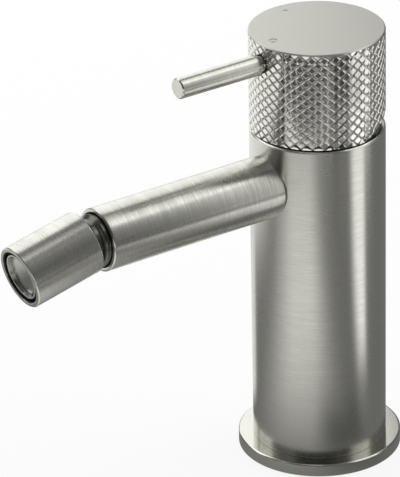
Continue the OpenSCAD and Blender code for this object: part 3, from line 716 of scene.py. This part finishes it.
class MIXER_OT_aerator(bpy.types.Operator):
    """Turns the aerator's bright housing and its black key ring with two lugs"""

    bl_idname = "mixer.aerator"
    bl_label = "Aerator"

    def execute(self, context):
        s = context.scene.mixer_sizes
        radius = BOX["nozzle_shell"][HIGH].x
        insert = radius - s.nozzle_wall - PLAY
        mouth = radius - 2.85 * MM
        inner = mouth - 0.6 * MM
        bore = 6 * MM
        back, step, shelf, front = 9 * MM, 16.6 * MM, 17.8 * MM, 21 * MM
        lean = nozzle_lean()
        housing = turned(
            "aerator_housing_turned",
            [
                (bore, back), (insert, back), (insert, step), (mouth, step), (mouth, front),
                (inner, front), (inner, shelf), (bore, shelf), (bore, back),
            ],
            0.06 * MM, steps=128,
        )
        place(housing, BALL, lean)
        dress(housing, "aerator_housing", "polished_chrome")

        inside = mouth + PLAY
        lip = insert - 0.2 * MM
        land, edge = 19.6 * MM, 21.2 * MM
        ring = turned(
            "aerator_ring_turned",
            [(inside, step), (insert, step), (insert, edge), (lip, edge), (lip, land), (inside, land), (inside, step)],
            0.06 * MM, steps=128,
        )
        half_lug, lug_height = 0.8 * MM, 1 * MM

        def lug(face):
            middle = face.calc_center_median()
            return face.normal.z > 0.99 and abs(middle.x) < half_lug and middle.z < (land + edge) / 2

        start_edit(ring)
        pick(ring, "faces", lug)
        bpy.ops.mesh.extrude_region_move(TRANSFORM_OT_translate={"value": (0, 0, lug_height)})
        bpy.ops.object.mode_set(mode="OBJECT")
        place(ring, BALL, lean)
        dress(ring, "aerator_ring", "black_plastic")

        rim = inner - 0.1 * MM
        rear, bulge, rise = 17.9 * MM, 1.2 * MM, 19.5 * MM
        sphere = (rim**2 + bulge**2) / (2 * bulge)
        dome = arc(rise + bulge - sphere, sphere, math.asin(1 - bulge / sphere), math.pi / 2, 8)
        gauze = turned("aerator_screen_woven", [(0, rear), (rim, rear), *dome], 0.05 * MM, steps=96)
        place(gauze, BALL, lean)
        dress(gauze, "aerator_screen", "polished_chrome", finish="woven_steel")
        return {"FINISHED"}


class MIXER_OT_cap(bpy.types.Operator):
    """Turns the handle's cap and cuts the ring and dot marks into its top"""

    bl_idname = "mixer.cap"
    bl_label = "Handle cap"

    def execute(self, context):
        s = context.scene.mixer_sizes
        low, high = BOX["handle_cap"]
        ledge = BOX["knurled_sleeve"][HIGH].z
        radius = high.x
        wall = radius - CAP_LEDGE
        inner = wall - 1.8 * MM
        chamfer = 0.35 * MM
        roof = high.z - 3 * MM
        piece = turned(
            "handle_cap_turned",
            [
                (0, roof), (inner, roof), (inner, low.z), (wall, low.z), (wall, ledge), (radius, ledge),
                (radius, high.z - chamfer), (radius - chamfer, high.z), (0, high.z),
            ],
            0.05 * MM, steps=192,
        )
        for name, hole, way in (("lever_pin", 2.5 * MM, -1), ("grub_plug", 3 * MM, 1)):
            bottom, top = BOX[name]
            drill(piece, hole, (0, 0, (bottom.z + top.z) / 2), (0, way, 0), radius)
        mark_at, mark_in, mark_out = 17.4 * MM, 0.9 * MM, 1.5 * MM
        drill(piece, mark_in, (-mark_at, 0, high.z + MM), (0, 0, -1), MM + s.mark_depth)
        floor = -s.mark_depth
        ring = turned(
            "mark_cutter", [(mark_in, floor), (mark_out, floor), (mark_out, MM), (mark_in, MM), (mark_in, floor)],
            0, steps=64,
        )
        place(ring, (0, -mark_at, high.z))
        cut_away(piece, ring)
        dress(piece, "handle_cap", "satin_nickel")
        return {"FINISHED"}


class MIXER_OT_sleeve(bpy.types.Operator):
    """Folds the crests of a copy of the knurled sleeve along it, and wears their edges round"""

    bl_idname = "mixer.sleeve"
    bl_label = "Knurled sleeve"

    def execute(self, context):
        s = context.scene.mixer_sizes
        piece = bpy.data.objects.new("knurled_sleeve_worn", frame["nodes"]["knurled_sleeve"].data.copy())
        context.scene.collection.objects.link(piece)
        start_edit(piece)
        bpy.ops.mesh.select_all(action="SELECT")
        bpy.ops.mesh.remove_doubles(threshold=0.002 * MM)
        low, high = BOX["knurled_sleeve"]
        crest = high.x - 0.01 * MM
        plain_end = 0.1 * MM
        shortest_side, longest_side, shortest_fold = 1.2 * MM, 2.2 * MM, 2.3 * MM

        def on_crest(vert):
            return vert.co.xy.length > crest and low.z + plain_end < vert.co.z < high.z - plain_end

        def fold(edge):
            first, last = edge.verts
            level = abs(first.co.z - last.co.z) < 0.01 * MM
            return level and edge.calc_length() > shortest_fold and on_crest(first) and on_crest(last)

        # Each crest is folded along the sleeve instead of across it, so that it follows the sleeve's round.
        pick(piece, "edges", fold)
        bpy.ops.mesh.edge_rotate()

        def side(edge):
            if len(edge.link_faces) != 2 or not shortest_side < edge.calc_length() < longest_side:
                return False
            bend = edge.link_faces[0].normal.angle(edge.link_faces[1].normal)
            return bend > math.radians(20) and all(map(on_crest, edge.verts))

        pick(piece, "edges", side)
        bpy.ops.mesh.bevel(affect="EDGES", offset=s.crest_round, segments=3, clamp_overlap=False)
        bpy.ops.object.mode_set(mode="OBJECT")
        # The groove attribute steers the painted shade and tarnish towards the bottom of the grooves.
        groove = piece.data.attributes.new("groove", "FLOAT", "POINT")
        for vert, share in zip(piece.data.vertices, groove.data):
            share.value = min(1, max(0, (crest - vert.co.xy.length) / s.knurl_depth))
        dress(piece, "knurled_sleeve", "brushed_nickel", smooth=24, finish="knurl_nickel")
        # The flat crests keep their own normals, and the worn edges take up the turn.
        bpy.ops.object.modifier_add(type="WEIGHTED_NORMAL")
        piece.modifiers[-1].keep_sharp = True
        bpy.ops.object.modifier_apply(modifier=piece.modifiers[-1].name)
        return {"FINISHED"}


class MIXER_OT_lever(bpy.types.Operator):
    """Turns the lever with its narrow neck and thread"""

    bl_idname = "mixer.lever"
    bl_label = "Lever"

    def execute(self, context):
        s = context.scene.mixer_sizes
        low, high = BOX["lever_pin"]
        radius, tip, end = high.x, -low.y, -high.y
        shoulder = BOX["knurled_sleeve"][HIGH].x + 0.8 * MM
        cap = BOX["handle_cap"][HIGH].x - CAP_LEDGE
        thread = 2.45 * MM
        neck = 2.75 * MM
        # The root is rounded nearly down to the neck, which leaves a dark ring before the sleeve.
        drop = (radius - neck) * 0.95
        quarter = [math.radians(15 * step) for step in range(7)]
        root = [
            (radius - drop * (1 - math.sin(t)), shoulder + s.root_round * (1 - math.cos(t))) for t in quarter
        ]
        piece = turned(
            "lever_turned",
            [
                (0, end), (thread, end), (thread, cap), (neck, cap), (neck, shoulder), *root,
                (radius, tip - s.tube_chamfer), (radius - s.tube_chamfer, tip), (0, tip),
            ],
            0.06 * MM, steps=96,
        )
        at = (0, 0, (low.z + high.z) / 2)
        place(piece, at, LEVEL)
        lay_turning(piece, at, LEVEL)
        dress(piece, "lever_pin", "brushed_nickel")
        return {"FINISHED"}


class MIXER_OT_plug(bpy.types.Operator):
    """Turns the plug over the grub screw with a shallow pull dimple"""

    bl_idname = "mixer.plug"
    bl_label = "Grub plug"

    def execute(self, context):
        low, high = BOX["grub_plug"]
        radius, chamfer = high.x, 0.2 * MM
        rim, bottom = 1.1 * MM, 0.9 * MM
        dimple = high.y - 0.25 * MM
        piece = turned(
            "grub_plug_moulded",
            [
                (0, low.y), (radius, low.y), (radius, high.y - chamfer), (radius - chamfer, high.y),
                (rim, high.y), (bottom, dimple), (0, dimple),
            ],
            0.05 * MM, steps=72,
        )
        place(piece, (0, 0, (low.z + high.z) / 2), (-math.pi / 2, 0, 0))
        dress(piece, "grub_plug", "grey_plastic")
        return {"FINISHED"}


class MIXER_OT_inner(bpy.types.Operator):
    """Gives the cartridge, seals and fixings that stay as CAD solids their real finishes"""

    bl_idname = "mixer.inner"
    bl_label = "Inner parts"

    def execute(self, context):
        finishes = {
            "black_rubber": (
                "base_seal", "spout_seal", "stem_seal", "cartridge_gasket", "turret_seal", "ball_seal", "aerator_seal",
            ),
            "white_acetal": ("cartridge_base", "cartridge_housing", "turret", "disc_carrier", "ball_seat"),
            "valve_ceramic": ("fixed_disc", "moving_disc"),
            "bare_brass": ("retaining_nut", "cartridge_stem", "handle_insert"),
            "polished_chrome": ("pivot_pin", "grub_screw"),
        }
        for slot, nodes in finishes.items():
            for name in nodes:
                frame["nodes"][name].data.materials.clear()
                frame["nodes"][name].data.materials.append(finish_named(slot))
        return {"FINISHED"}


def only_mirrored(card):
    """Makes a studio card show in the metal alone."""
    card.visible_camera = False
    card.visible_diffuse = False
    card.visible_shadow = False
    card.visible_transmission = False


def card_finish(name, level, edges):
    """A studio card of one even level that fades out over a share of its width and length."""
    material = new_material(name + "_card")
    tree = material.node_tree
    where = add_node(tree, "ShaderNodeUVMap", {"uv_map": "UVMap"})
    sides = add_node(tree, "ShaderNodeSeparateXYZ", links={"Vector": (where, "UV")})
    fades = []
    for side, edge in zip("XY", edges):
        near = add_node(tree, "ShaderNodeMath", {"operation": "PINGPONG"}, {1: 0.5}, {0: (sides, side)})
        fades.append(add_node(
            tree, "ShaderNodeMapRange", {"interpolation_type": "SMOOTHSTEP"}, {"From Max": edge},
            {"Value": (near, "Value")},
        ))
    both = add_node(
        tree, "ShaderNodeMath", {"operation": "MULTIPLY"}, links={0: (fades[0], "Result"), 1: (fades[1], "Result")}
    )
    clear = add_node(tree, "ShaderNodeBsdfTransparent")
    light = add_node(tree, "ShaderNodeEmission", values={"Strength": level})
    mixed = add_node(
        tree, "ShaderNodeMixShader", links={0: (both, "Value"), 1: (clear, "BSDF"), 2: (light, "Emission")}
    )
    add_node(tree, "ShaderNodeOutputMaterial", links={"Surface": (mixed, "Shader")})
    return material


def floor_card(name, azimuth, near, far, near_width, far_width, soft, level):
    """A card lying on the floor that runs outwards from the mixer, wider at its far end."""
    bpy.ops.object.select_all(action="DESELECT")
    bpy.ops.mesh.primitive_plane_add(size=1)
    card = bpy.context.object
    card.name = name
    start_edit(card)
    pick(card, "verts", lambda v: v.co.x < 0)
    bpy.ops.transform.resize(value=(1, near_width / far_width, 1))
    bpy.ops.object.mode_set(mode="OBJECT")
    card.scale = (far - near, far_width, 1)
    height = 0.1 * MM * (1 + sum(o.name.startswith("floor_") for o in bpy.context.scene.objects))
    reach = (near + far) / 2
    place(card, (reach * math.cos(azimuth), reach * math.sin(azimuth), height), (0, 0, azimuth))
    width = (near_width + far_width) / 2
    card.data.materials.append(card_finish(name, level, (soft / (far - near), soft / width)))
    only_mirrored(card)


def flag(name, middle, width, height, facing, level):
    """A card that stands in the air, with its face turned along facing."""
    bpy.ops.object.select_all(action="DESELECT")
    bpy.ops.mesh.primitive_plane_add(size=1)
    card = bpy.context.object
    card.name = name
    card.scale = (width, height, 1)
    place(card, middle, Vector(facing).to_track_quat("Z", "Y").to_euler())
    card.data.materials.append(card_finish(name, level, (0.15, 0.15)))
    only_mirrored(card)


def softbox(name, azimuth, elevation, distance, width, height, radiance):
    """A rectangular lamp facing the body's middle, of even radiance."""
    way = Vector((
        math.cos(azimuth) * math.cos(elevation), math.sin(azimuth) * math.cos(elevation), math.sin(elevation)
    ))
    data = bpy.data.lights.new(name, "AREA")
    data.shape = "RECTANGLE"
    data.size = width
    data.size_y = height
    data.energy = 4 * radiance * width * height
    lamp = bpy.data.objects.new(name, data)
    lamp.location = Vector((0, 0, 0.08)) + way * distance
    lamp.rotation_euler = way.to_track_quat("Z", "Y").to_euler()
    bpy.context.scene.collection.objects.link(lamp)
    lamp.visible_camera = False


class MIXER_OT_studio(bpy.types.Operator):
    """Sets the pale floor, the soft lamps, the reflection cards and the camera"""

    bl_idname = "mixer.studio"
    bl_label = "Studio"

    def execute(self, context):
        s = context.scene.mixer_studio
        scene = context.scene
        bpy.ops.object.select_all(action="DESELECT")
        bpy.ops.mesh.primitive_plane_add(size=12)
        floor = context.object
        floor.name = "studio_floor"
        material = new_material("studio_floor_matt")
        tree = material.node_tree
        rays = add_node(tree, "ShaderNodeLightPath")
        seen = add_node(
            tree, "ShaderNodeMath", {"operation": "MAXIMUM"},
            links={0: (rays, "Is Camera Ray"), 1: (rays, "Is Glossy Ray")},
        )
        shown = add_node(
            tree, "ShaderNodeMath", {"operation": "MAXIMUM"},
            links={0: (seen, "Value"), 1: (rays, "Is Transmission Ray")},
        )
        share = add_node(tree, "ShaderNodeMath", {"operation": "MULTIPLY"}, {1: s.glow_share}, {0: (shown, "Value")})
        matt = add_node(tree, "ShaderNodeBsdfDiffuse", values={"Color": linear(s.floor)})
        white = add_node(tree, "ShaderNodeEmission", values={"Color": (1, 1, 1, 1), "Strength": s.floor_glow})
        mixed = add_node(
            tree, "ShaderNodeMixShader", links={0: (share, "Value"), 1: (matt, "BSDF"), 2: (white, "Emission")}
        )
        add_node(tree, "ShaderNodeOutputMaterial", links={"Surface": (mixed, "Shader")})
        floor.data.materials.append(material)

        # Turn in degrees, near and far reach, near and far width, soft edge and level.
        # A later card lies over an earlier one.
        for name, azimuth, *card in (
            ("floor_cloth", 144, -0.45, 1.3, 2.6, 2.6, 0.06, 0.195),
            ("floor_card_front", -70, 0.002, 0.4, 0.26, 0.4, 0.13, 0.96),
            # floor_contact is a dark card that only the metal mirrors: a painted contact shadow on the floor round the
            # foot.
            ("floor_contact", -8, 0.02, 0.075, 0.05, 0.1, 0.025, 0.1),
            ("floor_cloth_front", -58, 0.27, 0.45, 0.56, 0.8, 0.02, 0.08),
            ("floor_card_far_front", -36, 0.46, 1.3, 0.64, 1.8, 0.03, 1.3),
            ("floor_cloth_right", 12, 0.33, 1.0, 0.18, 0.5, 0.06, 0.05),
            ("floor_card_far_middle", 4, 0.27, 0.38, 0.1, 0.14, 0.03, 0.5),
            ("floor_card_right", 31, 0.08, 0.32, 0.04, 0.188, 0.03, 1.45),
            ("floor_card_left", -167, 0.13, 1.4, 0.4, 2.8, 0.1, 1.05),
            ("floor_card_edge", 176, 0.03, 0.2, 0.06, 0.12, 0.02, 0.9),
            ("floor_card_far_left", -116, 0.28, 0.6, 0.25, 0.5, 0.03, 1.0),
            ("floor_card_far_right", 48, 0.27, 0.42, 0.13, 0.19, 0.03, 1.1),
        ):
            floor_card(name, math.radians(azimuth), *card)
        # Middle, width and height, the way it faces, and level.
        flag("card_right", (0.14, 0.132, 0.2), 0.2, 0.3, (-1, 0, 0), 1.05)
        flag("flag_right", (0.2, 0.01, 0.09), 0.13, 0.09, (-1, 0, 0), 0.05)
        flag("flag_camera", (0.9, -0.65, 0.5), 2.3, 0.8, (-0.81, 0.59, -0.45), 0.02)
        # Turn and height angle in degrees, distance, width and height, and radiance.
        for name, azimuth, elevation, *lamp in (
            ("lamp_overhead", 75, 52, 0.9, 0.7, 0.46, 1.3),
            ("lamp_front_top", -60, 78, 0.9, 0.3, 0.25, 1.2),
            ("lamp_left_back", 165, 32, 1.1, 0.84, 1.32, 1.0),
            ("lamp_left_front", -147, 38, 1.0, 0.62, 0.5, 1.2),
        ):
            softbox(name, math.radians(azimuth), math.radians(elevation), *lamp)

        world = bpy.data.worlds.new("studio_room")
        scene.world = world
        world.use_nodes = True
        world.node_tree.nodes.clear()
        tree = world.node_tree
        rays = add_node(tree, "ShaderNodeLightPath")
        level = add_node(
            tree, "ShaderNodeMapRange", values={"To Min": s.world_level, "To Max": s.mirror_level},
            links={"Value": (rays, "Is Glossy Ray")},
        )
        room = add_node(tree, "ShaderNodeBackground", links={"Strength": (level, "Result")})
        add_node(tree, "ShaderNodeOutputWorld", links={"Surface": (room, "Background")})

        focal = s.lens / SENSOR_MM * PHOTO[1]
        back = Vector((
            math.sin(s.azimuth) * math.cos(s.elevation), -math.cos(s.azimuth) * math.cos(s.elevation),
            math.sin(s.elevation),
        ))
        right = Vector((math.cos(s.azimuth), math.sin(s.azimuth), 0))
        up = back.cross(right)
        pan = Matrix.Rotation(math.atan((AIM_PIXEL[0] - PHOTO[0] / 2) / focal), 3, up)
        right, ahead = pan @ right, pan @ -back
        nod = Matrix.Rotation(math.atan((AIM_PIXEL[1] - PHOTO[1] / 2) / focal), 3, right)
        up, ahead = nod @ up, nod @ ahead
        tilt = Matrix.Rotation(s.roll, 3, ahead)
        right, up = tilt @ right, tilt @ up
        data = bpy.data.cameras.new("photo_camera")
        data.sensor_width = SENSOR_MM
        data.lens = s.lens
        data.clip_end = 20
        camera = bpy.data.objects.new("photo_camera", data)
        scene.collection.objects.link(camera)
        turned_to = Matrix((right, up, -ahead)).transposed().to_4x4()
        camera.matrix_world = Matrix.Translation(Vector((0, 0, s.aim_height)) + back * s.distance) @ turned_to
        scene.camera = camera
        scene.view_settings.view_transform = "Standard"
        return {"FINISHED"}


PIECES = (
    MIXER_OT_body, MIXER_OT_flange, MIXER_OT_spout, MIXER_OT_ball, MIXER_OT_nozzle, MIXER_OT_aerator, MIXER_OT_cap,
    MIXER_OT_sleeve, MIXER_OT_lever, MIXER_OT_plug, MIXER_OT_inner, MIXER_OT_studio,
)


class MIXER_PT_pieces(bpy.types.Panel):
    """Lists the mixer's sizes, finishes and pieces"""

    bl_idname = "MIXER_PT_pieces"
    bl_label = "Bidet Mixer"
    bl_space_type = "VIEW_3D"
    bl_region_type = "UI"
    bl_category = "Mixer"

    def draw(self, context):
        for group in (context.scene.mixer_sizes, context.scene.mixer_finishes, context.scene.mixer_studio):
            box = self.layout.box()
            for name in group.__annotations__:
                box.prop(group, name)
        for piece in PIECES:
            self.layout.operator(piece.bl_idname)


CLASSES = (MixerSizes, MixerFinishes, MixerStudio, *PIECES, MIXER_PT_pieces)


def register():
    for made in CLASSES:
        bpy.utils.register_class(made)
    bpy.types.Scene.mixer_sizes = bpy.props.PointerProperty(type=MixerSizes)
    bpy.types.Scene.mixer_finishes = bpy.props.PointerProperty(type=MixerFinishes)
    bpy.types.Scene.mixer_studio = bpy.props.PointerProperty(type=MixerStudio)


def unregister():
    del bpy.types.Scene.mixer_studio
    del bpy.types.Scene.mixer_finishes
    del bpy.types.Scene.mixer_sizes
    for made in reversed(CLASSES):
        bpy.utils.unregister_class(made)


def main():
    register()
    bpy.ops.mixer.body()
    bpy.ops.mixer.flange()
    bpy.ops.mixer.spout()
    bpy.ops.mixer.ball()
    bpy.ops.mixer.nozzle()
    bpy.ops.mixer.aerator()
    bpy.ops.mixer.cap()
    bpy.ops.mixer.sleeve()
    bpy.ops.mixer.lever()
    bpy.ops.mixer.plug()
    bpy.ops.mixer.inner()
    bpy.ops.mixer.studio()
    bpy.context.view_layer.update()


if __name__ == "__main__":
    main()
